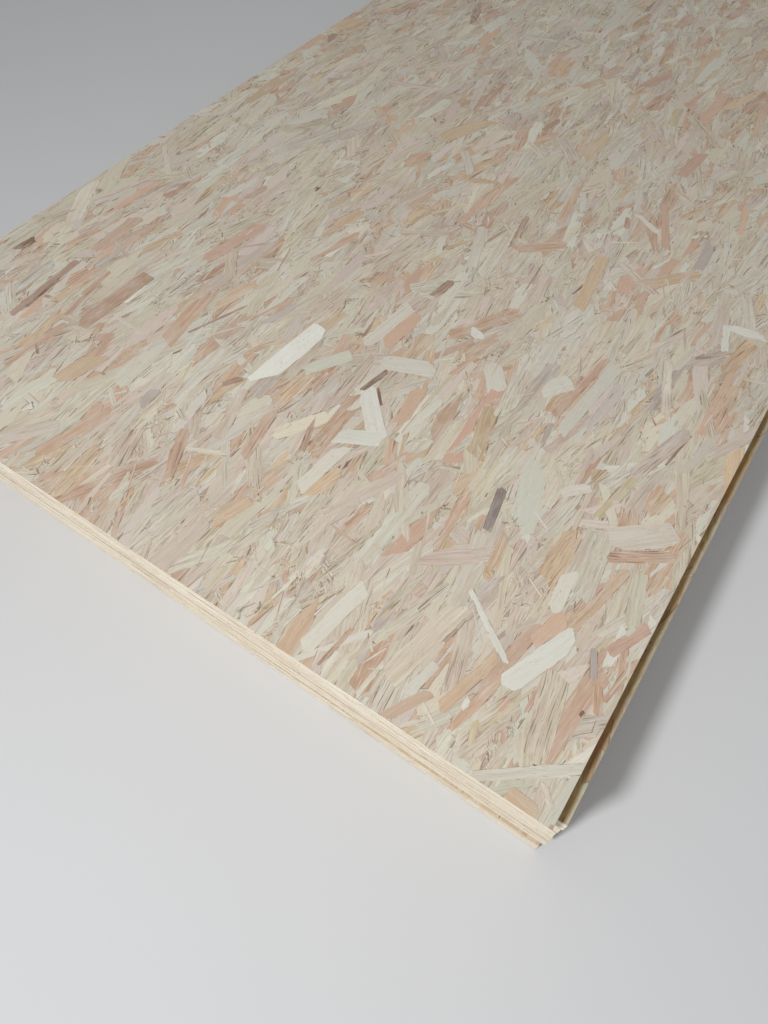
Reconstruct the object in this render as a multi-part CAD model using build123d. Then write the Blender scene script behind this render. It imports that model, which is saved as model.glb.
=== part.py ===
from build123d import *

import os

# A stack of oriented strand board sheets, lying flat. Lengths are in millimetres and turns in degrees.
# X runs along the sheets' length, Y across their width and Z up.
# The origin is the middle of the bottom sheet's underside.

# One sheet
panel_length = 2500.0
panel_width = 1250.0
panel_thickness = 22.0
arris_ease = 0.4

# How each sheet lies, from the bottom one up: its middle's place along and across the stack, measured
# from the bottom sheet's middle, and its turn seen from above.
bottom_turn = -0.47

block_along = 0.8
block_across = 5.2
block_staggers = [
    (-1.3, 0.0),
    (-0.5, -0.5),
    (-0.4, 0.4),
    (0.5, -0.6),
    (-0.3, -2.3),
]

top_along = -20.2
top_across = 16.9


def sheet():
    """One square-sawn sheet, its underside on the XY plane, with every arris just eased."""
    board = Box(
        panel_length,
        panel_width,
        panel_thickness,
        align=(Align.CENTER, Align.CENTER, Align.MIN),
    )
    return chamfer(board.edges(), arris_ease)


def resting_places():
    """Along, across and turn of each sheet, from the bottom one up."""
    places = [(0.0, 0.0, bottom_turn)]
    for along, across in block_staggers:
        places.append((block_along + along, block_across + across, 0.0))
    places.append((top_along, top_across, 0.0))
    return places


def laid(board, course, along, across, turn):
    """The sheet in its place, face to face with the one under it."""
    height = course * panel_thickness
    return Pos(along, across, height) * Rot(0, 0, turn) * board


os.makedirs("parts", exist_ok=True)
plain_sheet = sheet()
for course, place in enumerate(resting_places()):
    panel = laid(plain_sheet, course, *place)
    export_step(panel, f"parts/panel_{course + 1}.step")
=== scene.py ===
import math

import bpy
import numpy as np
from mathutils import Matrix, Vector


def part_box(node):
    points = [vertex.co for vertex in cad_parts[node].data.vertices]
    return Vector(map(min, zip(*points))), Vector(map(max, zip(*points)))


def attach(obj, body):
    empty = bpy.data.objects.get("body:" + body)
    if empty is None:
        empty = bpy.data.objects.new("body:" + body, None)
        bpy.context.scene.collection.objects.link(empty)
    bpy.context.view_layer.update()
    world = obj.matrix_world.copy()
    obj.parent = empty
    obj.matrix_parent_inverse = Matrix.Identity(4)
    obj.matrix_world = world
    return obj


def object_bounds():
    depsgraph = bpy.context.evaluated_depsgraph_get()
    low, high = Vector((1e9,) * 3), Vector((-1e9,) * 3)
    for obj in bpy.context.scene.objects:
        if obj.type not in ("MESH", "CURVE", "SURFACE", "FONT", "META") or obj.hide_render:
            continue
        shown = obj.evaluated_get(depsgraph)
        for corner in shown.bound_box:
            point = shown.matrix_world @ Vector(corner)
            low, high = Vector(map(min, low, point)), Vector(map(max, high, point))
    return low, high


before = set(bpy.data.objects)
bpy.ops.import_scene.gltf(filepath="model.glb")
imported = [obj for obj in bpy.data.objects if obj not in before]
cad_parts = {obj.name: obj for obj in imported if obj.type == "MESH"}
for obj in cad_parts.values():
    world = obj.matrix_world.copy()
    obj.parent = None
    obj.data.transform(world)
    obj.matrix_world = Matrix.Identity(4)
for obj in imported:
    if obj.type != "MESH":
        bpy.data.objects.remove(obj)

# A stack of oriented strand board sheets. The sheets are the frame's own nodes. This script lays the
# strands on the faces that show and on the sawn edges, and gives every surface its wood.
# Lengths are in metres unless a name says otherwise.

cad_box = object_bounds()
MM = 0.001
rng = np.random.default_rng(2084)

sheet_names = sorted(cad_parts, key=lambda name: int(name.split("_")[1]))
top_sheet = sheet_names[-1]
arris_ease = 0.4 * MM


# Camera

picture_width_px, picture_height_px = 768, 1024
focal_px = 769
sensor_side_mm = 36
camera_behind_short_edge = 268 * MM
camera_inside_long_edge = 82.3 * MM
camera_above_top = 876 * MM
camera_heading, camera_down, camera_roll = math.radians(30.31), math.radians(56.05), math.radians(4.08)

top_low, top_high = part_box(top_sheet)
camera_place = Vector((
    top_low.x - camera_behind_short_edge,
    top_low.y + camera_inside_long_edge,
    top_high.z + camera_above_top,
))


def camera_axes():
    """The camera's right, up and forward directions, from its heading, tilt and roll."""
    forward = Vector((
        math.cos(camera_heading) * math.cos(camera_down),
        math.sin(camera_heading) * math.cos(camera_down),
        -math.sin(camera_down),
    ))
    level = forward.cross(Vector((0, 0, 1))).normalized()
    upright = level.cross(forward)
    right = level * math.cos(camera_roll) + upright * math.sin(camera_roll)
    return right, right.cross(forward), forward


def add_camera():
    right, up, forward = camera_axes()
    data = bpy.data.cameras.new("camera")
    data.sensor_width = sensor_side_mm
    data.lens = focal_px / picture_height_px * sensor_side_mm
    data.clip_start, data.clip_end = 0.05, 60
    camera = bpy.data.objects.new("camera", data)
    bpy.context.scene.collection.objects.link(camera)
    camera.matrix_world = Matrix((
        (right.x, up.x, -forward.x, camera_place.x),
        (right.y, up.y, -forward.y, camera_place.y),
        (right.z, up.z, -forward.z, camera_place.z),
        (0, 0, 0, 1),
    ))
    bpy.context.scene.camera = camera


def on_top_face(pixel):
    """The point of the top face that a pixel of the picture shows."""
    right, up, forward = camera_axes()
    across = (pixel[0] - picture_width_px / 2) / focal_px
    down = (pixel[1] - picture_height_px / 2) / focal_px
    ray = forward + right * across - up * down
    return camera_place + ray * ((top_high.z - camera_place.z) / ray.z)


# Tints of the wood as the picture shows them in plain light, each with how often it comes

TINTS = {
    "pale": ((207, 204, 191), 32),
    "straw": ((207, 200, 181), 25),
    "rose": ((206, 194, 182), 18),
    "salmon": ((201, 172, 150), 10),
    "tan": ((203, 180, 152), 7),
    "ivory": ((214, 209, 197), 3.5),
    "grooved": ((204, 195, 175), 4),
    "white": ((216, 216, 206), 0.35),
    # Painted highlight: a white made lighter still, for a strand that shows a sheen.
    "white_with_sheen": ((226, 226, 217), 0.0),
    "gold": ((203, 190, 158), 1.2),
    "ash": ((197, 188, 179), 2),
    "clay": ((188, 158, 139), 1.2),
    "brown": ((168, 142, 126), 0.4),
    "mauve": ((178, 166, 160), 0.7),
    "umber": ((134, 108, 94), 0.1),
    "plum": ((146, 131, 129), 0.1),
    # Painted shade: the dark of cracks and of the gaps among fines.
    "shadow": ((152, 133, 112), 0.0),
}
# The only ones that a broad strand, or one that lies across the others, may have
COMMON_TINTS = {name: TINTS[name] for name in ("pale", "straw", "rose", "salmon", "tan", "grooved", "ash")}
SAWN_TINTS = {
    "cream": ((230, 226, 217), 40),
    "ivory": ((236, 233, 226), 25),
    "honey": ((221, 213, 198), 22),
    "toast": ((196, 180, 160), 8),
    "rust": ((146, 122, 98), 3),
}


def linear(colour):
    """A colour of 0 to 255 as the shader's linear numbers."""
    share = np.asarray(colour, float) / 255
    return np.where(share <= 0.04045, share / 12.92, ((share + 0.055) / 1.055) ** 2.4)


def any_tint(tints):
    names = list(tints)
    weights = np.array([tints[name][1] for name in names], float)
    return names[rng.choice(len(names), p=weights / weights.sum())]


def shade_of(tint, tints):
    """The tint's linear colour, a little lighter or darker and warmer or cooler each time, and how strongly
    the strand's lines show."""
    lightness, hue = (0.015, 0.004) if tint in ("white", "white_with_sheen") else (0.045, 0.012)
    colour = linear(tints[tint][0]) * rng.normal(1, lightness)
    lined = {"white": 0.08, "white_with_sheen": 0.05, "grooved": 0.95}.get(tint, rng.beta(1.2, 2.8))
    return np.append(np.clip(colour * (1 + rng.normal(0, hue, 3)), 0.02, 0.95), lined)


# Faces of the sheets

class Face:
    """A flat rectangle of a sheet: its corner, its directions along, across and outward, and its size."""

    def __init__(self, corner, along, across, out, length, width):
        vectors = (corner, along, across, out)
        self.corner, self.along, self.across, self.out = (np.array(v, float) for v in vectors)
        self.length, self.width = length, width

    def place(self, flat, height):
        """Points in space for points on the face, in metres from its corner, raised by height."""
        return (
            self.corner
            + flat[:, :1] * self.along
            + flat[:, 1:] * self.across
            + np.reshape(height, (-1, 1)) * self.out
        )


def plan_of(name):
    """A sheet's rectangle seen from above: its low corner, its directions along and across, and its sizes."""
    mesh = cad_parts[name].data
    points = np.empty(len(mesh.vertices) * 3)
    mesh.vertices.foreach_get("co", points)
    points = points.reshape(-1, 3)
    low_z, high_z = points[:, 2].min(), points[:, 2].max()
    middle = (points.min(0) + points.max(0))[:2] / 2
    half_way = points[np.abs(points[:, 2] - (low_z + arris_ease)) < arris_ease / 4][:, :2] - middle
    far = half_way[np.argmax(half_way @ (1.0, -0.5))]
    near = half_way[np.argmin(half_way @ (1.0, 0.5))]
    along = far - near
    along /= np.linalg.norm(along)
    across = np.array((-along[1], along[0]))
    length = np.ptp(half_way @ along)
    width = np.ptp(half_way @ across)
    return middle - along * length / 2 - across * width / 2, along, across, length, width, low_z, high_z


def face_above(name):
    """The sheet's upper face, inside its eased arrises."""
    corner, along, across, length, width, _, high_z = plan_of(name)
    corner = corner + (along + across) * arris_ease
    return Face(
        (*corner, high_z), (*along, 0), (*across, 0), (0, 0, 1),
        length - 2 * arris_ease, width - 2 * arris_ease,
    )


def sawn_faces(name):
    """The sheet's four sawn edges, each between its eased arrises, with whether it is a long one."""
    corner, along, across, length, width, low_z, high_z = plan_of(name)
    sides = (
        (corner, along, -across, length, True),
        (corner + along * length, across, along, width, False),
        (corner + along * length + across * width, -along, across, length, True),
        (corner + across * width, -across, -along, width, False),
    )
    for start, run, out, reach, is_long in sides:
        start = start + run * arris_ease
        yield Face(
            (*start, low_z + arris_ease), (*run, 0), (0, 0, 1), (*out, 0),
            reach - 2 * arris_ease, high_z - low_z - 2 * arris_ease,
        ), is_long


# Strands as geometry

# Free room round each strand on its map
map_margin = 1.2 * MM
# The least height of a plate's faces, and how far one leans over its length and its width
lowest_underside, lowest_top = 0.01 * MM, 0.03 * MM
lean_along, lean_across = 0.05 * MM, 0.07 * MM


class Strands:
    """Many strands that become one mesh: each a thin closed plate with its tint, its grain and its own
    place on a square map."""

    def __init__(self):
        self.points, self.polygons = [], []
        self.tints, self.grain, self.shape, self.plates = [], [], [], []
        self.count = 0

    def add(self, face, flat, local, size, heights, thickness, colour):
        """A plate whose outline is flat on the face and local in the strand's own frame."""
        number = len(flat)
        under = np.maximum(heights - thickness, lowest_underside)
        self.points += [face.place(flat, heights), face.place(flat, under)]
        first = self.count
        top = list(range(first, first + number))
        bottom = list(range(first + 2 * number - 1, first + number - 1, -1))
        self.polygons += [top, bottom]
        for here in range(number):
            after = (here + 1) % number
            self.polygons.append([first + here, first + number + here, first + number + after, first + after])
        self.count += 2 * number
        self.tints.append(np.tile(colour, (2 * number, 1)))
        phase = rng.uniform(0, 4000, 2)
        self.plates.append((number, local, size, phase))

    def corner_maps(self):
        """For each polygon's corners: their grain, their place within the strand and on the map."""
        homes, side = self.homes()
        grain, shape, atlas = [], [], []
        for (number, local, size, phase), home in zip(self.plates, homes):
            here = np.arange(number)
            after = (here + 1) % number
            walls = np.stack((here, here, after, after), 1).ravel()
            order = np.concatenate((here, here[::-1], walls))
            low_on_wall = np.tile((False, True, True, False), number)
            at_foot = np.concatenate((np.zeros(2 * number, bool), low_on_wall))
            grain.append(local[order] / MM + phase)
            shape.append(np.stack((local[order, 1], np.full(len(order), size[1] / 2)), 1) / MM)
            spread = local[order] + np.sign(local[order]) * np.where(at_foot, map_margin / 2, 0)[:, None]
            atlas.append((home + spread) / side)
        return np.concatenate(grain), np.concatenate(shape), np.concatenate(atlas)

    def homes(self):
        """A place for each strand on a square map, in rows as shelves hold books, and the map's side. The
        map starts little larger than the strands need and grows until all fit."""
        slack, growth = 1.01, 1.02
        boxes = np.array([np.abs(local).max(0) * 2 + 2 * map_margin for _, local, _, _ in self.plates])
        order = np.argsort(-boxes[:, 1])
        side = math.sqrt(boxes.prod(1).sum()) * slack
        while True:
            homes = np.zeros_like(boxes)
            x = y = row = 0.0
            for k in order:
                wide, high = boxes[k]
                if x + wide > side:
                    x, y, row = 0.0, y + row, 0.0
                row = max(row, high)
                homes[k] = (x + wide / 2, y + high / 2)
                x += wide
            if y + row <= side:
                return homes, side
            side *= growth

    def mesh_piece(self, name, material):
        mesh = bpy.data.meshes.new(name)
        mesh.from_pydata(np.concatenate(self.points).tolist(), [], self.polygons)
        tint = mesh.attributes.new("tint", "FLOAT_COLOR", "POINT")
        tint.data.foreach_set("color", np.concatenate(self.tints).astype(np.float32).ravel())
        for layer, values in zip(("grain", "shape", "OFBake"), self.corner_maps()):
            mesh.uv_layers.new(name=layer, do_init=False).uv.foreach_set(
                "vector", values.astype(np.float32).ravel()
            )
        mesh.materials.append(material)
        mesh.update()
        piece = bpy.data.objects.new(name, mesh)
        bpy.context.scene.collection.objects.link(piece)
        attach(piece, "root")


def outline(length, width, steps, torn, neat):
    """A strand's outline in its own frame: long sides that waver a little, and ends that are cut on the
    slant or torn into teeth. A neat one is nearly as broad at its ends."""
    slant_spread, pointed_share = 0.55, 0.22
    waver_spread = 0.015 if neat else 0.05
    shoulder = length / 2 - 0.35 * width
    slants = rng.normal(0, slant_spread, 2) * width
    waver = rng.normal(0, waver_spread * width, (2, steps))
    pointed = rng.random(2) < pointed_share
    taper = np.where(pointed, rng.uniform(0.15, 0.6, 2), 1 - np.abs(rng.normal(0, 0.1, 2)))
    if neat:
        taper = 1 - rng.uniform(0, 0.12, 2)
    stations = np.linspace(-1, 1, steps)
    half = width / 2 * np.interp(stations, (-1, 0.2, 1), (taper[0], 1, taper[1]))
    ends = stations * shoulder
    slip = slants[(stations > 0).astype(int)] * 0.5 * np.abs(stations)
    lower = np.stack((ends - slip, -half + waver[0]), 1)
    upper = np.stack((ends + slip, half + waver[1]), 1)
    points = [lower]
    for side, edge, toward in ((1, half[-1], 1), (0, half[0], -1)):
        heights = np.sort(rng.uniform(-0.8, 0.8, torn)) * edge * toward
        jut = rng.uniform(0.0, 1.0, torn) * min(0.5 * width, 0.2 * length)
        place = toward * (shoulder + jut) + slants[side] * heights / max(width, 1e-6)
        points.append(np.stack((place, heights), 1))
        if side:
            points.append(upper[::-1])
    return np.concatenate(points)


def clipped(flat, length, width):
    """The part of an outline inside the rectangle from (0, 0) to (length, width)."""
    least_side = 0.02 * MM
    for axis, limit, sign in ((0, 0.0, 1), (0, length, -1), (1, 0.0, 1), (1, width, -1)):
        inside = (flat[:, axis] - limit) * sign >= 0
        if inside.all():
            continue
        if not inside.any():
            return flat[:0]
        kept = []
        for here in range(len(flat)):
            after = (here + 1) % len(flat)
            if inside[here]:
                kept.append(flat[here])
            if inside[here] != inside[after]:
                share = (limit - flat[here, axis]) / (flat[after, axis] - flat[here, axis])
                kept.append(flat[here] + (flat[after] - flat[here]) * share)
        flat = np.array(kept)
        if len(flat) < 3:
            return flat[:0]
    flat = flat[np.linalg.norm(flat - np.roll(flat, 1, 0), axis=1) > least_side]
    return flat if len(flat) >= 3 else flat[:0]


def lay(
    bundle, face, centre, turn, length, width, level, colour,
    steps=4, torn=2, thickness=0.5 * MM, tilt=1.0, neat=False,
):
    """Adds one strand to a bundle, at a place on the face, turned, and cut off where the sheet is sawn."""
    local = outline(length, width, steps, torn, neat)
    cos, sin = math.cos(turn), math.sin(turn)
    turned = np.array(((cos, sin), (-sin, cos)))
    flat = clipped(local @ turned + centre, face.length, face.width)
    if not len(flat):
        return
    local = (flat - centre) @ turned.T
    lean = rng.normal(0, (lean_along / length, lean_across / width)) * tilt
    heights = np.maximum(level + local @ lean, lowest_top)
    bundle.add(face, flat, local, (length, width), heights, thickness, colour)


class Cover:
    """Which parts of a face strands already cover, on a grid of small cells."""

    cell = 2.5 * MM
    reach_share = 0.46

    def __init__(self, face):
        self.shape = (int(face.length / self.cell) + 1, int(face.width / self.cell) + 1)
        self.taken = np.zeros(self.shape, bool)
        self.nested = np.zeros(self.shape, bool)
        self.kept = np.zeros(self.shape, bool)

    def under(self, centre, turn, length, width):
        """The cells that a strand covers."""
        cos, sin = abs(math.cos(turn)), abs(math.sin(turn))
        reach = np.array((length * cos + width * sin, length * sin + width * cos)) / 2
        low = np.clip(((centre - reach) / self.cell).astype(int), 0, self.shape)
        high = np.clip(((centre + reach) / self.cell).astype(int) + 1, 0, self.shape)
        x = (np.arange(low[0], high[0]) + 0.5)[:, None] * self.cell - centre[0]
        y = (np.arange(low[1], high[1]) + 0.5)[None, :] * self.cell - centre[1]
        along = x * math.cos(turn) + y * math.sin(turn)
        across = y * math.cos(turn) - x * math.sin(turn)
        inside = (np.abs(along) < length * self.reach_share) & (np.abs(across) < width * self.reach_share)
        return (slice(low[0], high[0]), slice(low[1], high[1])), inside

    def hides_landmark(self, centre, turn, length, width):
        where, inside = self.under(centre, turn, length, width)
        return (inside & self.kept[where]).any()


# Kinds of strand on a pressed face: how often, length and width in millimetres as mean and spread,
# points along a side, torn teeth at an end, and the share that has to show
KINDS = {
    "broad": (0.46, (116, 24), (26, 7), 5, 3, 0.30),
    "middling": (0.34, (95, 24), (14, 4), 4, 2, 0.36),
    "narrow": (0.20, (64, 22), (6, 1.8), 3, 1, 0.45),
}
broad_turn_share = 0.6
strand_heights = (0.08 * MM, 0.75 * MM)
landmark_lift = 0.14 * MM
# A strand has to be slimmer and turned less than this to have one of the rare tints.
slim_width, along_turn = 19 * MM, 0.6
most_over_nest = 0.12
fill_rounds, bare_enough = 12, 0.001

# The area of a face for each one
area_per_try = 150 * MM * MM
area_per_nest = 4600 * MM * MM
area_per_fine = 11 * MM * MM
area_per_splinter = 1100 * MM * MM

# Least and most length and width, in millimetres
FILLING = (50, 110), (8, 22)
NEST = (16, 46), (6, 15)
FINE = (4, 16), (1.0, 3.2)
SPLINTER = (12, 50), (0.9, 2.8)
CRACK = (8, 34), (0.7, 1.4)
CUT_ALONG = (30, 95), (0.45, 1.3)
CUT_ACROSS = (9, 30), (0.45, 1.3)

# Least and most height of their upper side in millimetres, and their thickness
fine_levels, splinter_levels, sawn_levels = (0.25, 0.8), (0.6, 0.95), (0.04, 0.16)
loose_thickness = 0.3 * MM


def any_size(kind):
    """A length and a width between the kind's limits, in metres."""
    lengths, widths = kind
    return rng.uniform(*lengths) * MM, rng.uniform(*widths) * MM


def strand_turn():
    """A strand's turn from the sheet's length: most lie near it, and some lie anyhow."""
    near_up_to, loose_up_to = 0.75, 0.93
    near_spread, loose_spread = 0.24, 0.65
    kind = rng.random()
    if kind < near_up_to:
        return rng.normal(0, near_spread)
    if kind < loose_up_to:
        return rng.normal(0, loose_spread)
    return rng.uniform(-math.pi / 2, math.pi / 2)


def landmark_strands(face):
    """The strands that stand out in the picture, each from one end's pixel to the other's."""
    for start, end, breadth_px, tint in LANDMARKS:
        start_px, end_px = np.array(start, float), np.array(end, float)
        along_px = (end_px - start_px) / np.linalg.norm(end_px - start_px)
        side_px = np.array((-along_px[1], along_px[0])) * breadth_px / 2
        middle_px = (start_px + end_px) / 2
        ends = [np.array(on_top_face(p)) - face.corner for p in (start_px, end_px)]
        sides = [np.array(on_top_face(p)) - face.corner for p in (middle_px - side_px, middle_px + side_px)]
        run = (ends[1] - ends[0])[:2]
        length = np.linalg.norm(run)
        normal = np.array((-run[1], run[0])) / length
        width = abs((sides[1] - sides[0])[:2] @ normal)
        yield (ends[0] + ends[1])[:2] / 2, math.atan2(run[1], run[0]), length, width, tint


# From pixel, to pixel, breadth in pixels and tint
LANDMARKS = (
    # Pale ones
    # The first is a white strand, painted lighter as its sheen.
    ((258, 381), (323, 327), 19, "white_with_sheen"),
    ((367, 390), (379, 447), 20, "white"),
    ((333, 435), (384, 440), 15, "white"),
    ((377, 361), (438, 371), 16, "ivory"),
    ((505, 686), (573, 637), 24, "white"),
    ((551, 614), (572, 571), 17, "ivory"),
    ((569, 579), (594, 529), 13, "pale"),
    ((470, 589), (491, 633), 6, "white"),
    ((484, 618), (507, 665), 7, "white"),
    ((398, 434), (430, 394), 5, "ivory"),
    ((302, 371), (356, 354), 12, "pale"),
    ((333, 405), (373, 357), 12, "rose"),
    ((365, 345), (412, 306), 12, "pale"),
    ((296, 491), (346, 446), 14, "pale"),
    ((531, 766), (560, 668), 30, "grooved"),
    ((468, 777), (585, 769), 13, "pale"),
    ((544, 784), (551, 808), 7, "ivory"),
    ((461, 709), (470, 699), 8, "white"),
    ((626, 636), (636, 627), 7, "ivory"),
    ((145, 381), (173, 358), 12, "pale"),
    ((24, 407), (37, 405), 8, "white"),
    ((112, 470), (138, 425), 18, "grooved"),
    ((0, 440), (61, 424), 12, "ash"),
    ((24, 394), (38, 407), 8, "ivory"),
    ((178, 409), (186, 421), 6, "ivory"),
    ((117, 317), (142, 334), 4, "ivory"),
    ((186, 449), (226, 454), 5, "ivory"),
    ((470, 329), (483, 340), 9, "white"),
    ((724, 353), (727, 325), 8, "white"),
    ((727, 327), (767, 339), 8, "white"),
    ((559, 434), (618, 366), 14, "pale"),
    ((668, 359), (665, 420), 10, "ivory"),
    ((541, 391), (577, 381), 17, "pale"),
    ((560, 494), (592, 487), 11, "ivory"),
    ((594, 236), (605, 238), 8, "white"),
    ((464, 150), (471, 175), 9, "pale"),
    ((405, 696), (438, 662), 12, "pale"),
    ((422, 701), (434, 725), 3, "ivory"),
    ((400, 727), (428, 718), 5, "ivory"),
    ((302, 650), (368, 584), 17, "pale"),
    ((384, 683), (464, 603), 24, "straw"),
    ((631, 629), (641, 573), 17, "straw"),
    # Reddish and dark ones
    ((361, 391), (388, 371), 5, "umber"),
    ((378, 388), (381, 406), 3, "umber"),
    ((399, 425), (421, 387), 14, "salmon"),
    ((383, 347), (421, 313), 13, "salmon"),
    ((387, 466), (394, 438), 12, "salmon"),
    ((243, 458), (273, 412), 11, "salmon"),
    ((213, 521), (250, 499), 14, "tan"),
    ((306, 497), (341, 472), 15, "tan"),
    ((486, 533), (503, 488), 10, "plum"),
    ((490, 573), (506, 534), 13, "tan"),
    ((532, 649), (565, 616), 20, "salmon"),
    ((569, 632), (627, 571), 12, "tan"),
    ((438, 710), (499, 655), 14, "tan"),
    ((497, 711), (511, 697), 9, "salmon"),
    ((470, 746), (475, 721), 8, "gold"),
    ((505, 790), (540, 821), 20, "tan"),
    ((606, 557), (678, 558), 12, "salmon"),
    ((606, 540), (682, 534), 26, "ash"),
    ((606, 655), (651, 626), 14, "clay"),
    ((597, 717), (598, 684), 10, "salmon"),
    ((593, 681), (594, 649), 8, "mauve"),
    ((650, 512), (670, 493), 15, "tan"),
    ((590, 482), (603, 468), 13, "tan"),
    ((554, 417), (607, 359), 8, "clay"),
    ((631, 478), (688, 432), 15, "ash"),
    ((695, 359), (734, 354), 2.5, "brown"),
    ((684, 328), (685, 350), 2.5, "brown"),
    # The next three thin dark lines are painted shadows along strands' edges.
    ((665, 466), (691, 436), 2.5, "umber"),
    ((572, 295), (590, 280), 2, "umber"),
    ((522, 296), (543, 264), 1.5, "brown"),
    ((404, 166), (430, 151), 10, "salmon"),
    ((441, 139), (488, 121), 11, "tan"),
    ((562, 138), (575, 164), 12, "ash"),
    ((411, 597), (427, 586), 9, "clay"),
    ((318, 666), (353, 628), 5, "salmon"),
    ((384, 717), (432, 692), 12, "salmon"),
    ((80, 326), (153, 272), 14, "clay"),
    ((163, 346), (208, 294), 15, "salmon"),
    ((55, 383), (102, 354), 16, "tan"),
    ((36, 455), (112, 411), 11, "salmon"),
    ((168, 474), (186, 430), 12, "salmon"),
    # A thin dark line, a painted shadow along a strand's edge.
    ((188, 333), (247, 306), 2, "brown"),
    ((222, 385), (243, 378), 5, "brown"),
    ((138, 408), (158, 389), 10, "mauve"),
    ((10, 316), (79, 260), 6, "brown"),
    ((26, 307), (60, 279), 2.5, "umber"),
    ((17, 250), (36, 238), 7, "umber"),
    ((584, 159), (605, 136), 14, "tan"),
    ((680, 178), (704, 153), 10, "clay"),
    ((664, 203), (666, 250), 8, "salmon"),
    ((697, 271), (712, 245), 11, "mauve"),
    ((432, 298), (453, 281), 8, "brown"),
    ((725, 372), (754, 342), 15, "tan"),
    ((531, 308), (548, 273), 13, "rose"),
    ((577, 311), (605, 256), 13, "tan"),
    ((512, 250), (569, 245), 9, "salmon"),
    ((601, 79), (623, 66), 7, "salmon"),
    ((643, 88), (674, 72), 8, "clay"),
    ((543, 131), (560, 120), 4, "brown"),
    ((671, 127), (680, 108), 9, "gold"),
    ((511, 246), (528, 216), 5, "clay"),
    ((643, 209), (646, 192), 4, "mauve"),
    ((626, 229), (629, 218), 6, "clay"),
    ((530, 141), (545, 160), 7, "ivory"),
    ((525, 190), (546, 162), 5, "pale"),
    ((637, 214), (658, 234), 5, "ivory"),
    ((651, 171), (658, 178), 5, "ivory"),
    # Pits and small knots
    ((579, 717), (584, 711), 4, "umber"),
    ((476, 737), (481, 731), 4, "brown"),
    ((533, 766), (537, 764), 3, "umber"),
    ((44, 299), (53, 295), 5, "brown"),
    ((36, 344), (38, 354), 3, "umber"),
    ((101, 375), (106, 373), 3, "brown"),
    ((519, 724), (523, 719), 2.5, "umber"),
    ((575, 510), (580, 505), 4, "brown"),
    ((432, 121), (438, 120), 5, "umber"),
)


def nests_of(face):
    """Places where loose fines lie in place of whole strands."""
    for _ in range(int(face.length * face.width / area_per_nest)):
        yield rng.uniform(0, 1, 2) * (face.length, face.width), rng.normal(0, 0.5), *any_size(NEST)


def cover_face(face, bundle_at, landmarks=()):
    """Covers a face with strands, the uppermost first, until only small voids are left. Each later one
    lies lower. Nests of fines take the places that no whole strand covers."""
    cover = Cover(face)
    laid = []
    for centre, turn, length, width, tint in landmarks:
        where, inside = cover.under(centre, turn, length, width)
        cover.taken[where] |= inside
        cover.kept[where] |= inside
        laid.append((centre, turn, length, width, tint, 4, 2))

    nests = [nest for nest in nests_of(face) if not cover.hides_landmark(*nest)]
    for nest in nests:
        where, inside = cover.under(*nest)
        cover.nested[where] |= inside & ~cover.taken[where]

    area = face.length * face.width
    names = list(KINDS)
    weights = np.array([KINDS[name][0] for name in names])
    tries = int(area / area_per_try)
    spots = rng.uniform(0, 1, (tries, 2)) * (face.length, face.width)
    picks = rng.choice(len(names), tries, p=weights / weights.sum())
    for spot, pick in zip(spots, picks):
        _, lengths, widths, steps, torn, least = KINDS[names[pick]]
        length = np.clip(rng.normal(*lengths), 0.4 * lengths[0], 1.5 * lengths[0]) * MM
        width = np.clip(rng.normal(*widths), 0.5 * widths[0], 1.9 * widths[0]) * MM
        turn = strand_turn() * (broad_turn_share if names[pick] == "broad" else 1.0)
        where, inside = cover.under(spot, turn, length, width)
        number = np.count_nonzero(inside)
        if not number:
            continue
        free = np.count_nonzero(inside & ~cover.taken[where])
        crossing = np.count_nonzero(inside & cover.nested[where])
        if free < least * number or crossing > most_over_nest * number:
            continue
        cover.taken[where] |= inside
        laid.append((spot, turn, length, width, None, steps, torn))

    for _ in range(fill_rounds):
        bare = np.argwhere(~(cover.taken | cover.nested))
        if len(bare) < bare_enough * cover.taken.size:
            break
        rng.shuffle(bare)
        for cell in bare[: len(bare) // 4]:
            if cover.taken[tuple(cell)]:
                continue
            spot = (cell + rng.uniform(0, 1, 2)) * cover.cell
            length, width = any_size(FILLING)
            turn = strand_turn()
            where, inside = cover.under(spot, turn, length, width)
            cover.taken[where] |= inside
            laid.append((spot, turn, length, width, None, 4, 2))

    low, high = strand_heights
    for rank, (centre, turn, length, width, tint, steps, torn) in enumerate(laid):
        level = low + (high - low) * (1 - rank / len(laid))
        choice = TINTS if width < slim_width and abs(turn) < along_turn else COMMON_TINTS
        colour = shade_of(tint or any_tint(choice), TINTS)
        stands_out = rank < len(landmarks)
        lay(
            bundle_at(centre), face, centre, turn, length, width, level + landmark_lift * stands_out, colour,
            steps, torn, tilt=0.6 if stands_out else 1.0, neat=stands_out,
        )
    for nest in nests:
        lay_fines(face, bundle_at, *nest)
    return cover


def lay_fines(face, bundle_at, centre, turn, length, width):
    """A nest of short fibres and chips that lie over each other with gaps between."""
    scatter, turn_spread, shades = 0.30, 0.45, (0.8, 1.08)
    cos, sin = math.cos(turn), math.sin(turn)
    for _ in range(int(length * width / area_per_fine)):
        x, y = rng.normal(0, scatter, 2) * (length, width)
        spot = centre + np.array((x * cos - y * sin, x * sin + y * cos))
        if not (0 < spot[0] < face.length and 0 < spot[1] < face.width):
            continue
        # Some chips take the shadow tint, painted shade in the gaps among them.
        tint = ("pale", "straw", "ivory", "rose", "tan", "straw", "shadow")[rng.integers(7)]
        colour = shade_of(tint, TINTS)
        colour[:3] *= rng.uniform(*shades)
        lay(
            bundle_at(spot), face, spot, turn + rng.normal(0, turn_spread), *any_size(FINE),
            rng.uniform(*fine_levels) * MM, colour, steps=2, torn=0, thickness=loose_thickness, tilt=2.5,
        )


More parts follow.
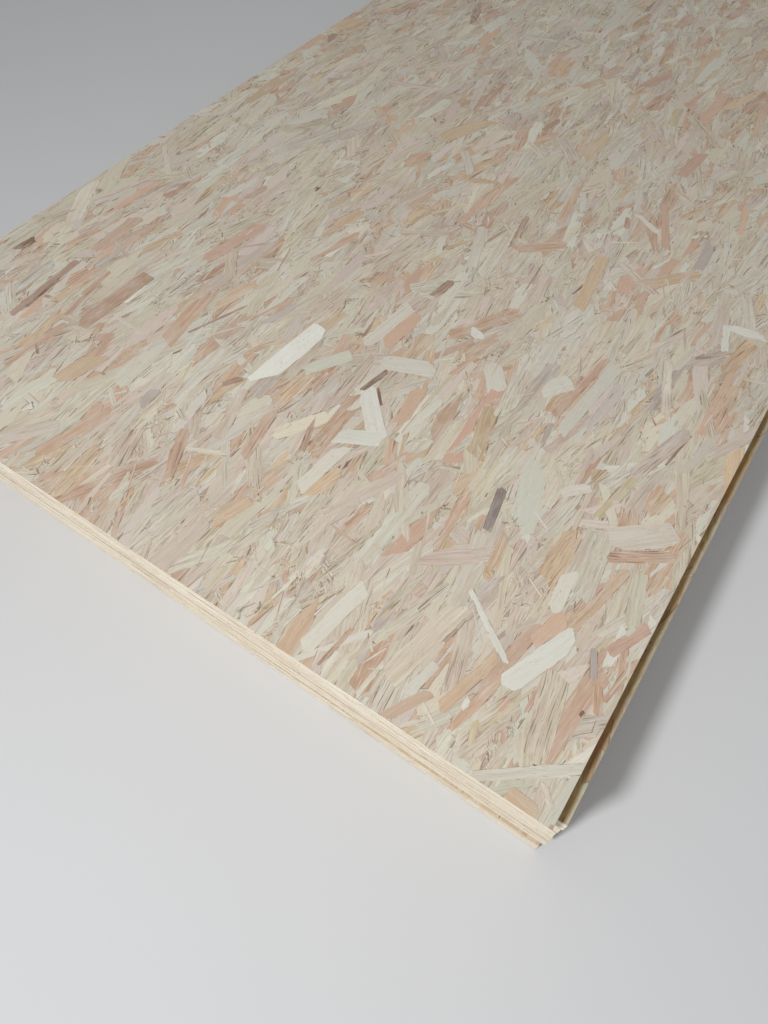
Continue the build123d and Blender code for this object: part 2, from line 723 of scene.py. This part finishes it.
def scatter_splinters(face, bundle_at, cover):
    """Single splinters pressed into the face, and cracks as thin, laid as dark strips of painted shade."""
    for _ in range(int(face.length * face.width / area_per_splinter)):
        centre = rng.uniform(0, 1, 2) * (face.length, face.width)
        tint = ("ivory", "pale", "straw", "ivory", "pale", "tan", "shadow", "shadow")[rng.integers(8)]
        turn, (length, width) = strand_turn(), any_size(SPLINTER)
        if tint == "shadow":
            turn, (length, width) = rng.normal(0, 0.2), any_size(CRACK)
        if cover.hides_landmark(centre, turn, length, 4 * width):
            continue
        lay(
            bundle_at(centre), face, centre, turn, length, width, rng.uniform(*splinter_levels) * MM,
            shade_of(tint, TINTS), steps=2, torn=1, thickness=loose_thickness, tilt=2.0,
        )


# Node trees

class Tree:
    """A material's nodes, added by short calls. Any value given may be a socket or a plain number."""

    def __init__(self, name):
        self.material = bpy.data.materials.new(name)
        self.material.use_nodes = True
        self.nodes = self.material.node_tree.nodes
        self.links = self.material.node_tree.links
        self.shader = self.nodes["Principled BSDF"]

    def put(self, socket, value):
        if isinstance(value, bpy.types.NodeSocket):
            self.links.new(value, socket)
        else:
            socket.default_value = value

    def add(self, kind, values=None, **settings):
        node = self.nodes.new(kind)
        for name, value in settings.items():
            setattr(node, name, value)
        for name, value in (values or {}).items():
            self.put(node.inputs[name], value)
        return node

    def maths(self, operation, *values):
        return self.add("ShaderNodeMath", dict(enumerate(values)), operation=operation).outputs[0]

    def times(self, first, second):
        return self.maths("MULTIPLY", first, second)

    def parts(self, vector):
        return self.add("ShaderNodeSeparateXYZ", {0: vector}).outputs

    def waved(self, vector, wave, reach):
        """The vector moved along Y by a noise, up to reach either way."""
        shift = self.spread(wave, 0.2, 0.8, -reach, reach, smooth=False)
        moved = self.add("ShaderNodeCombineXYZ", {"Y": shift}).outputs[0]
        return self.add("ShaderNodeVectorMath", {0: vector, 1: moved}, operation="ADD").outputs[0]

    def scaled(self, vector, by, moved=(0, 0, 0)):
        values = {"Vector": vector, "Scale": by, "Location": moved}
        return self.add("ShaderNodeMapping", values).outputs[0]

    def noise(self, vector, scale=1.0, detail=2.0, roughness=0.5):
        values = {"Vector": vector, "Scale": scale, "Detail": detail, "Roughness": roughness}
        return self.add("ShaderNodeTexNoise", values).outputs["Fac"]

    def spread(self, value, low, high, to_low=0.0, to_high=1.0, smooth=True):
        """The value mapped from one range to another, held at its ends."""
        values = {"Value": value, "From Min": low, "From Max": high, "To Min": to_low, "To Max": to_high}
        kind = "SMOOTHSTEP" if smooth else "LINEAR"
        return self.add("ShaderNodeMapRange", values, interpolation_type=kind).outputs["Result"]

    def mix(self, share, first, second, blend="MIX"):
        node = self.add("ShaderNodeMix", data_type="RGBA", blend_type=blend)
        for socket, value in zip((node.inputs[0], node.inputs[6], node.inputs[7]), (share, first, second)):
            self.put(socket, value)
        return node.outputs[2]

    def layered(self, colour, *layers):
        """The colour under layers, each with the share it covers, its own colour and how it blends."""
        for share, over, *blend in layers:
            colour = self.mix(share, colour, rgba(over), *blend)
        return colour

    def bump(self, height, distance):
        return self.add("ShaderNodeBump", {"Height": height, "Distance": distance}).outputs["Normal"]

    def surface(self, values):
        """Gives the shader its values and returns the material."""
        for name, value in values.items():
            self.put(self.shader.inputs[name], value)
        return self.material


def rgba(colour):
    return (*linear(colour), 1.0)


def strand_material(name, roughness, ledge_darkening=None, ledge_darkening_share=(0.75, 1.0), blend="MULTIPLY", shaded_by_top_sheet=False):
    """Wood split along its grain: the strand's own tint under bands, clouds, fibres, pores and flecks,
    with painted shadows and painted highlights along thin rims in places. A ledge's strands can be darkened
    as well, partly as painted shade."""
    tree = Tree(name)
    own = tree.add("ShaderNodeAttribute", attribute_name="tint").outputs
    grain = tree.add("ShaderNodeUVMap", uv_map="grain").outputs[0]
    shape = tree.add("ShaderNodeUVMap", uv_map="shape").outputs[0]
    place = tree.add("ShaderNodeTexCoord").outputs["Object"]
    lined = own["Alpha"]

    # The scales are per millimetre on the grain's map, along and across the strand, and per metre on the
    # place in space.
    bent = tree.noise(tree.scaled(grain, (0.012, 0.05, 1)), detail=1)
    path = tree.waved(grain, bent, 3.0)

    fibres = tree.noise(tree.scaled(path, (0.03, 0.7, 1)), detail=4, roughness=0.65)
    bands = tree.noise(tree.scaled(path, (0.008, 0.17, 1), (31, 7, 3)), detail=3)
    pores = tree.noise(tree.scaled(path, (0.014, 0.36, 1), (5, 91, 8)), detail=2, roughness=0.55)
    gleams = tree.noise(tree.scaled(path, (0.016, 0.42, 1), (77, 13, 5)), detail=2, roughness=0.55)
    cloud = tree.noise(tree.scaled(grain, (0.016, 0.05, 1), (60, 2, 9)), detail=2)
    blush = tree.noise(place, 13.0, 3)
    drift = tree.noise(place, 6.5, 2)
    blended = tree.spread(lined, 0.0, 0.25, 0.1, 1.0)

    def share(value, low, high, most):
        return tree.times(tree.spread(value, low, high, 0.0, most), blended)

    dark_fibres = tree.times(tree.spread(fibres, 0.50, 0.28), tree.spread(lined, 0.0, 0.8, 0.16, 0.75))
    dark_pores = tree.times(tree.spread(pores, 0.59, 0.67), tree.spread(lined, 0.02, 0.7, 0.0, 0.85))

    flecks = tree.noise(tree.scaled(path, (0.10, 0.72, 1), (8, 66, 4)), detail=2, roughness=0.6)
    flecked = tree.spread(tree.noise(place, 34.0, 2), 0.42, 0.60, 0.1, 0.6)
    dark_flecks = tree.times(tree.spread(flecks, 0.58, 0.68), flecked)
    pale_flecks = tree.times(tree.spread(flecks, 0.40, 0.30), flecked)

    across, half_width, _ = tree.parts(shape)
    from_side = tree.maths("SUBTRACT", half_width, tree.maths("ABSOLUTE", across))
    patchy = tree.noise(tree.scaled(grain, (0.04, 0.04, 1), (3, 44, 1)), detail=2)
    # Painted shadow and painted highlight along a strand's sides, where its edge steps over its neighbour.
    near_side = tree.times(tree.spread(from_side, 1.5, 0.4), tree.spread(half_width, 1.3, 2.8))
    rim_shadow = tree.times(near_side, tree.spread(patchy, 0.50, 0.60, 0.0, 0.75))
    lit_rim = tree.times(near_side, share(patchy, 0.44, 0.36, 0.5))

    colour = tree.layered(
        own["Color"],
        (share(bands, 0.38, 0.66, 0.55), (222, 208, 190), "MULTIPLY"),
        (share(cloud, 0.46, 0.70, 0.42), (206, 190, 175)),
        (share(cloud, 0.42, 0.24, 0.34), (211, 207, 194)),
        (share(blush, 0.47, 0.66, 0.40), (205, 190, 175)),
        (share(blush, 0.44, 0.30, 0.34), (208, 204, 190)),
        (share(drift, 0.42, 0.70, 0.30), (228, 219, 218), "MULTIPLY"),
        (dark_fibres, (156, 134, 110), "MULTIPLY"),
        (tree.spread(fibres, 0.56, 0.74, 0.0, 0.20), (234, 231, 218)),
        (share(gleams, 0.58, 0.70, 0.45), (230, 224, 206)),
        (dark_pores, (132, 109, 88)),
        (dark_flecks, (168, 145, 121)),
        (tree.times(pale_flecks, 0.6), (228, 222, 204)),
        # Painted shadow, then painted highlight, along the rims.
        (rim_shadow, (122, 98, 77)),
        (lit_rim, (232, 226, 208)),
    )
    # In places a strand's side runs into its neighbour's with no line between them.
    common = tree.mix(tree.spread(drift, 0.40, 0.60), rgba((208, 195, 174)), rgba((204, 188, 170)))
    runs_in = tree.times(tree.spread(from_side, 4.5, 0.0), share(cloud, 0.50, 0.58, 0.6))
    colour = tree.mix(runs_in, colour, common)
    # Ledge strands darkened in patches: on the deep ledge this is painted shade under the sheet above, and on
    # the high ledge it makes the whole ledge darker and greyer.
    if ledge_darkening:
        darkening_patches = tree.noise(place, 60.0, 4)
        colour = tree.mix(tree.spread(darkening_patches, 0.3, 0.6, *ledge_darkening_share), colour, rgba(ledge_darkening), blend)
    if shaded_by_top_sheet:
        # Painted shade: the ledge is darkest in the corner under the top sheet's long edge, where that
        # sheet's shadow falls.
        out_from_edge = tree.maths("SUBTRACT", top_low.y, tree.parts(place)[1])
        border = tree.spread(tree.noise(place, 30.0, 3), 0.3, 0.7, -2 * MM, 2 * MM)
        ragged = tree.maths("ADD", out_from_edge, border)
        by_long_edge = tree.maths("GREATER_THAN", out_from_edge, -8 * MM)
        painted_corner_shade = tree.times(tree.spread(ragged, 12 * MM, 7 * MM), by_long_edge)
        colour = tree.mix(painted_corner_shade, colour, rgba((232, 204, 164)), "MULTIPLY")

    height = tree.maths("ADD", fibres, tree.times(dark_pores, -0.6))
    return tree.surface({
        "Base Color": colour,
        "Roughness": tree.spread(fibres, 0.3, 0.7, roughness + 0.1, roughness - 0.08),
        "Normal": tree.bump(height, 0.3 * MM),
        "Specular IOR Level": 0.35,
    })


def sheet_material(name):
    """A sheet's own faces: plain wood deep between the strands above, darker there as painted shade, pressed
    strands below, and pale streaks of cut strands with small voids on the sawn edges, the voids painted dark
    as their shade."""
    tree = Tree(name)
    place = tree.add("ShaderNodeTexCoord").outputs["Object"]
    facing = tree.parts(tree.add("ShaderNodeNewGeometry").outputs["True Normal"])[2]
    flat = tree.maths("GREATER_THAN", tree.maths("ABSOLUTE", facing), 0.9)
    upward = tree.maths("GREATER_THAN", facing, 0.9)

    wobble = tree.noise(place, 9.0, 2)
    bent = tree.waved(place, wobble, 0.03)
    cells = tree.add("ShaderNodeTexVoronoi", {"Vector": tree.scaled(bent, (11, 62, 1)), "Scale": 1.0})
    tone = tree.add("ShaderNodeSeparateColor", {0: cells.outputs["Color"]}).outputs[0]
    lines = tree.noise(tree.scaled(bent, (16, 520, 1)), detail=3)
    pressed = tree.layered(
        rgba((206, 196, 168)),
        (tree.spread(tone, 0.25, 0.75), (196, 160, 134)),
        (tree.spread(lines, 0.55, 0.35, 0.0, 0.55), (140, 112, 84), "MULTIPLY"),
        # Painted shade: up-facing faces show only deep between the strands and are darker there.
        (tree.times(upward, 0.8), (172, 158, 142)),
    )

    streaks = tree.noise(tree.scaled(place, (26, 26, 900)), detail=4, roughness=0.6)
    layers = tree.noise(tree.scaled(place, (7, 7, 420), (3, 5, 1)), detail=3)
    holes = tree.noise(tree.scaled(place, (46, 46, 640), (9, 1, 4)), detail=2)
    # Painted shade: the eased arrises below the top sheet are darkened as thin seams between the sheets.
    eased = tree.maths("COMPARE", tree.maths("ABSOLUTE", facing), math.sqrt(0.5), 0.1)
    seam_shade = tree.times(eased, tree.maths("LESS_THAN", tree.parts(place)[2], top_low.z - 1 * MM))
    sawn = tree.layered(
        rgba((230, 223, 207)),
        (tree.spread(layers, 0.36, 0.64), (214, 200, 176)),
        (tree.spread(streaks, 0.46, 0.32, 0.0, 0.75), (184, 162, 134)),
        # Painted shade: the small voids are painted dark.
        (tree.spread(holes, 0.69, 0.74, 0.0, 0.85), (92, 70, 50)),
        # Painted shade in the seams between the sheets.
        (tree.times(seam_shade, 0.5), (148, 127, 103)),
    )

    height = tree.mix(flat, tree.maths("SUBTRACT", streaks, holes), lines)
    return tree.surface({
        "Base Color": tree.mix(flat, sawn, pressed),
        "Roughness": tree.spread(streaks, 0.3, 0.7, 0.82, 0.66),
        "Normal": tree.bump(height, 0.4 * MM),
        "Specular IOR Level": 0.3,
    })


def floor_material():
    return Tree("floor").surface({"Base Color": rgba((206, 207, 209)), "Roughness": 0.9})


# The pieces

def dress_top_face(material, strips=14):
    """The top face, in strips along the sheet, so that each piece stays light."""
    face = face_above(top_sheet)
    bundles = [Strands() for _ in range(strips)]

    def bundle_at(centre):
        return bundles[int(np.clip(centre[1] / face.width * strips, 0, strips - 1))]

    cover = cover_face(face, bundle_at, landmarks=list(landmark_strands(face)))
    scatter_splinters(face, bundle_at, cover)
    for number, bundle in enumerate(bundles, 1):
        bundle.mesh_piece(f"top_strands_{number}", material)


def ledges(lower, upper):
    """The parts of a sheet's upper face that the sheet above leaves bare, as faces along its sides."""
    whole = face_above(lower)
    corner, along, across, length, width, _, _ = plan_of(upper)
    ends = np.array([corner + along * a + across * b for a in (0, length) for b in (0, width)])
    ends = ends - whole.corner[:2]
    flat = np.stack((ends @ whole.along[:2], ends @ whole.across[:2]), 1)
    hidden, least = 6 * MM, 1.6 * MM
    bare = (
        (flat[:, 1].min(), (0.0, 0.0), whole.length, None),
        (whole.width - flat[:, 1].max(), (0.0, None), whole.length, None),
        (flat[:, 0].min(), (0.0, 0.0), None, whole.width),
        (whole.length - flat[:, 0].max(), (None, 0.0), None, whole.width),
    )
    # A turned sheet leaves more bare at one end than at the other.
    turned_by = np.ptp(flat[:2, 0]) + np.ptp(flat[::2, 1])
    for deep, start, length, width in bare:
        if deep + turned_by < least:
            continue
        reach = deep + turned_by + hidden
        x = whole.length - reach if start[0] is None else start[0]
        y = whole.width - reach if start[1] is None else start[1]
        yield Face(
            whole.corner + whole.along * x + whole.across * y, whole.along, whole.across, whole.out,
            length or reach, width or reach,
        )


def dress_ledges(materials):
    for lower, upper in zip(sheet_names, sheet_names[1:]):
        material = materials["deep" if lower == sheet_names[0] else "high"]
        bundle = Strands()
        for face in ledges(lower, upper):
            cover_face(face, lambda centre: bundle)
        if bundle.plates:
            bundle.mesh_piece(f"ledge_strands_{lower}", material)


def dress_sawn_edges(material):
    """The cut strands that stand a hair proud of each sawn edge. Those of the outer layers run along the
    long edges and end on the short ones, and those of the core do the opposite."""
    core_from, darker_in_core = 0.28, 0.06
    turn_spread, end_shade = 0.028, 0.95
    for name in sheet_names:
        bundle = Strands()
        for face, is_long in sawn_faces(name):
            for _ in range(int(face.length * face.width / area_per_try)):
                centre = rng.uniform(0, 1, 2) * (face.length, face.width)
                depth = min(centre[1], face.width - centre[1]) / face.width
                in_core = depth > core_from
                cut_along = in_core != is_long
                length, width = any_size(CUT_ALONG if cut_along else CUT_ACROSS)
                level = rng.uniform(*sawn_levels) * MM
                darker = in_core and rng.random() < darker_in_core
                tint = ("toast", "rust")[rng.integers(2)] if darker else any_tint(SAWN_TINTS)
                colour = shade_of(tint, SAWN_TINTS)
                colour[:3] *= 1.0 if cut_along else end_shade
                lay(
                    bundle, face, centre, rng.normal(0, turn_spread), length, width, level, colour,
                    steps=2, torn=1, thickness=loose_thickness, tilt=0.5,
                )
        bundle.mesh_piece(f"sawn_strands_{name}", material)


# Floor, light and view

def add_stage():
    radius, corners, floor_gap = 28.0, 96, 0.2 * MM
    middle = (cad_box[0] + cad_box[1]) / 2
    turns = [2 * math.pi * number / corners for number in range(corners)]
    mesh = bpy.data.meshes.new("floor")
    mesh.from_pydata(
        [(middle.x + radius * math.cos(a), middle.y + radius * math.sin(a), -floor_gap) for a in turns],
        [], [range(corners)],
    )
    mesh.materials.append(floor_material())
    floor = bpy.data.objects.new("floor", mesh)
    bpy.context.scene.collection.objects.link(floor)


def add_light():
    """A soft white surrounding, and one lamp beyond the short edge."""
    surrounding_strength = 0.42
    lamp_place, lamp_target = Vector((-3.2, 0.3, 2.2)), Vector((-0.2, -0.85, 0.15))
    lamp_size, lamp_power, lamp_spread = 0.45, 31, math.radians(112)
    lamp_colour = (1.0, 0.997, 0.99)

    world = bpy.data.worlds.new("world")
    world.use_nodes = True
    background = world.node_tree.nodes["Background"]
    background.inputs["Color"].default_value = (1.0, 1.0, 1.0, 1)
    background.inputs["Strength"].default_value = surrounding_strength
    bpy.context.scene.world = world

    data = bpy.data.lights.new("window", "AREA")
    data.shape = "DISK"
    data.size, data.energy, data.color, data.spread = lamp_size, lamp_power, lamp_colour, lamp_spread
    lamp = bpy.data.objects.new("window", data)
    bpy.context.scene.collection.objects.link(lamp)
    lamp.location = lamp_place
    lamp.rotation_euler = (lamp_target - lamp_place).to_track_quat("-Z", "Y").to_euler()


bpy.context.scene.view_settings.view_transform = "Standard"
add_camera()
add_stage()
add_light()

board = sheet_material("sheet")
pressed_strand = strand_material("pressed_strand", 0.6)
sawn_strand = strand_material("sawn_strand", 0.72)
ledge_strand = {
    # The high ledge's strands carry painted shade in the corner under the top sheet.
    "high": strand_material("ledge_strand", 0.7, (218, 216, 200), shaded_by_top_sheet=True),
    # The deep ledge's strands are darkened in patches as painted shade under the sheet above.
    "deep": strand_material("deep_ledge_strand", 0.75, (190, 172, 148), (0.25, 0.9), "MIX"),
}
for name in sheet_names:
    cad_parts[name].data.materials.clear()
    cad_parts[name].data.materials.append(board)

dress_top_face(pressed_strand)
dress_ledges(ledge_strand)
dress_sawn_edges(sawn_strand)
